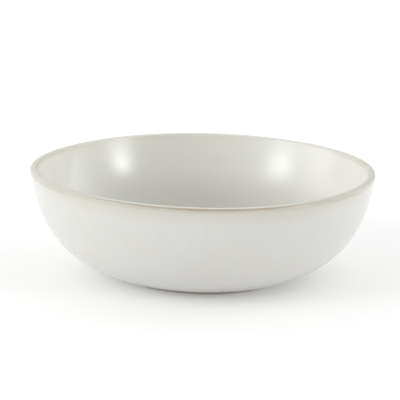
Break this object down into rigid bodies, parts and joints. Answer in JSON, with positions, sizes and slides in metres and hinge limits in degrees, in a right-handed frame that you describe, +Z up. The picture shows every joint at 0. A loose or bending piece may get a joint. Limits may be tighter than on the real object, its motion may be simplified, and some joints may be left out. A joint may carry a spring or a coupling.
{
  "type": "serving bowl",
  "caption": "Round, deep, footed serving bowl in off-white glazed ceramic, with a thin tan line along its rounded lip.",
  "frame": {"origin": "centre of the foot ring's contact face, on the axis the bowl is turned about", "axes": "+Z up along the turning axis, from the foot to the open top; +X and +Y are any two directions square to it, since the bowl is round"},
  "size_m": [0.254, 0.254, 0.079],
  "materials": {
    "bare_clay": "fired and unglazed, matt, light tan",
    "white_glaze": "glossy warm off-white glaze",
    "tan_glaze": "thin satin glaze with the tan clay showing through"
  },
  "bodies": {
    "root": {"clay_body": "bare_clay", "inner_glaze": "white_glaze", "outer_glaze": "white_glaze", "lip_glaze": "tan_glaze", "foot_well_glaze": "white_glaze"}
  },
  "joints": []
}
